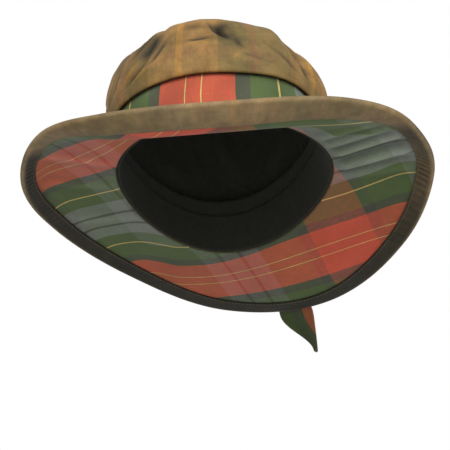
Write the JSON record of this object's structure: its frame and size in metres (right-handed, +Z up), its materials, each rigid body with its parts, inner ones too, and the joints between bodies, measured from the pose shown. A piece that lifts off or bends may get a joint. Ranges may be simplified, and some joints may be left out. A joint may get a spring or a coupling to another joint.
{
  "type": "waxed hat",
  "caption": "Soft waxed-cotton rain hat with a wide tartan-lined brim turned up at the front, a tartan band and a tie knotted at the back.",
  "frame": {"origin": "centre of the head opening, on the plane of its highest points at the sides", "axes": "+Z up along the crown, -Y where the wearer faces, +X to the right of someone who faces the wearer"},
  "size_m": [0.3419, 0.3738, 0.1923],
  "materials": {
    "waxed_cotton": "waxed, dull sheen, faint overcheck",
    "tartan_lining": "plain-woven cotton tartan",
    "tartan_band": "plain-woven cotton tartan",
    "dark_cotton": "matt ribbed cotton"
  },
  "bodies": {
    "root": {"crown": "waxed_cotton", "brim": "waxed_cotton", "brim_facing": "waxed_cotton", "brim_lining": "tartan_lining", "hat_band": "tartan_band", "band_knot": "tartan_band", "tail_long": "tartan_band", "tail_short": "tartan_band", "sweatband": "dark_cotton"}
  },
  "joints": []
}
